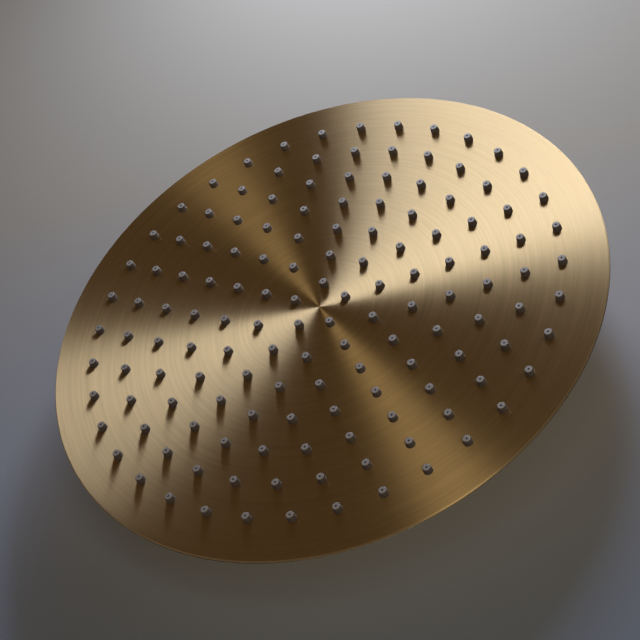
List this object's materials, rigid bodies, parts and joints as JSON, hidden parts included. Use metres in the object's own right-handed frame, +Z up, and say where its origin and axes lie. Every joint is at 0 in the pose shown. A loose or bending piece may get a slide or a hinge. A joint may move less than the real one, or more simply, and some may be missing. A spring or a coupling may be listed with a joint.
{
  "type": "rain shower head",
  "caption": "Thin round rain shower head with rings of soft nozzles in a brushed gold face, hung from a threaded inlet by a ball joint that tilts and turns.",
  "frame": {"origin": "centre of the threaded inlet's mouth, on top of the ball connector", "axes": "+Z up along the inlet, with the spray face looking down; -Y along one of the five radial lines of nozzles"},
  "size_m": [0.3, 0.3, 0.054],
  "materials": {
    "gold_steel": "brushed",
    "gold_brass": "brushed",
    "grey_silicone": "matte",
    "black_rubber": "matte",
    "white_plastic": "satin",
    "steel": "brushed"
  },
  "bodies": {
    "connector": {"ball_connector": "gold_brass", "inlet_gasket": "black_rubber", "filter_screen": "steel", "flow_regulator": "white_plastic", "regulator_ring": "black_rubber"},
    "liner": {"friction_ring": "white_plastic"},
    "seal": {"ball_seal": "black_rubber"},
    "head": {"face_plate": "gold_steel", "back_plate": "gold_steel", "hub": "gold_steel", "retaining_nut": "gold_brass", "seat_washer": "steel", "stay_posts": "steel", "nozzles_ring_1": "grey_silicone", "nozzles_ring_2": "grey_silicone", "nozzles_ring_3": "grey_silicone", "nozzles_ring_4": "grey_silicone", "nozzles_ring_5": "grey_silicone", "nozzles_ring_6": "grey_silicone", "nozzles_ring_7": "grey_silicone"}
  },
  "joints": [
    {"name": "tilt_x", "type": "hinge", "parent": "connector", "child": "liner", "pos_m": [0, 0, -0.03185], "axis": [1, 0, 0], "range_deg": [-12, 12]},
    {"name": "tilt_y", "type": "hinge", "parent": "liner", "child": "seal", "pos_m": [0, 0, -0.03185], "axis": [0, 1, 0], "range_deg": [-12, 12]},
    {"name": "spin", "type": "hinge", "parent": "seal", "child": "head", "pos_m": [0, 0, -0.03185], "axis": [0, 0, 1], "continuous": true}
  ]
}
